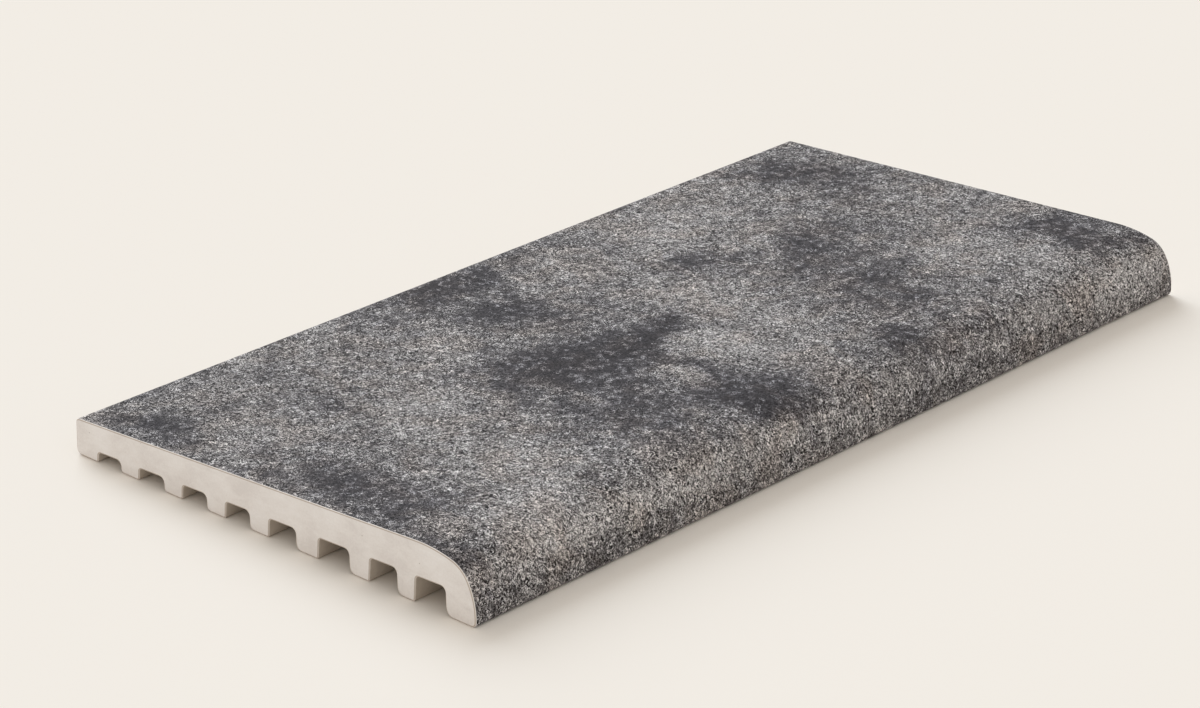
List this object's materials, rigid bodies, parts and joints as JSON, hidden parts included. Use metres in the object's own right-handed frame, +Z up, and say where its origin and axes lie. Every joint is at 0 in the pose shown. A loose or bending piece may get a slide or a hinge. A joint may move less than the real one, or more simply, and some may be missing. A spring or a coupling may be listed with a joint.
{
  "type": "pool handgrip tile",
  "caption": "Extruded stoneware pool edge tile with a sloping glazed top, a rounded grip nose along one long side and a ribbed underside for bedding in mortar.",
  "frame": {"origin": "middle of the bed plane that every rib stands on, at the centre of the footprint", "axes": "+X across the tile from its back edge to its rounded grip nose, +Y along its length, +Z up"},
  "size_m": [0.31, 0.626, 0.0363],
  "materials": {
    "glazed_stoneware": "matt mottled dark grey stone-look glaze over the top and nose, bare pale beige body on the ends, back edge and underside"
  },
  "bodies": {
    "root": {"handgrip_tile": "glazed_stoneware"}
  },
  "joints": []
}
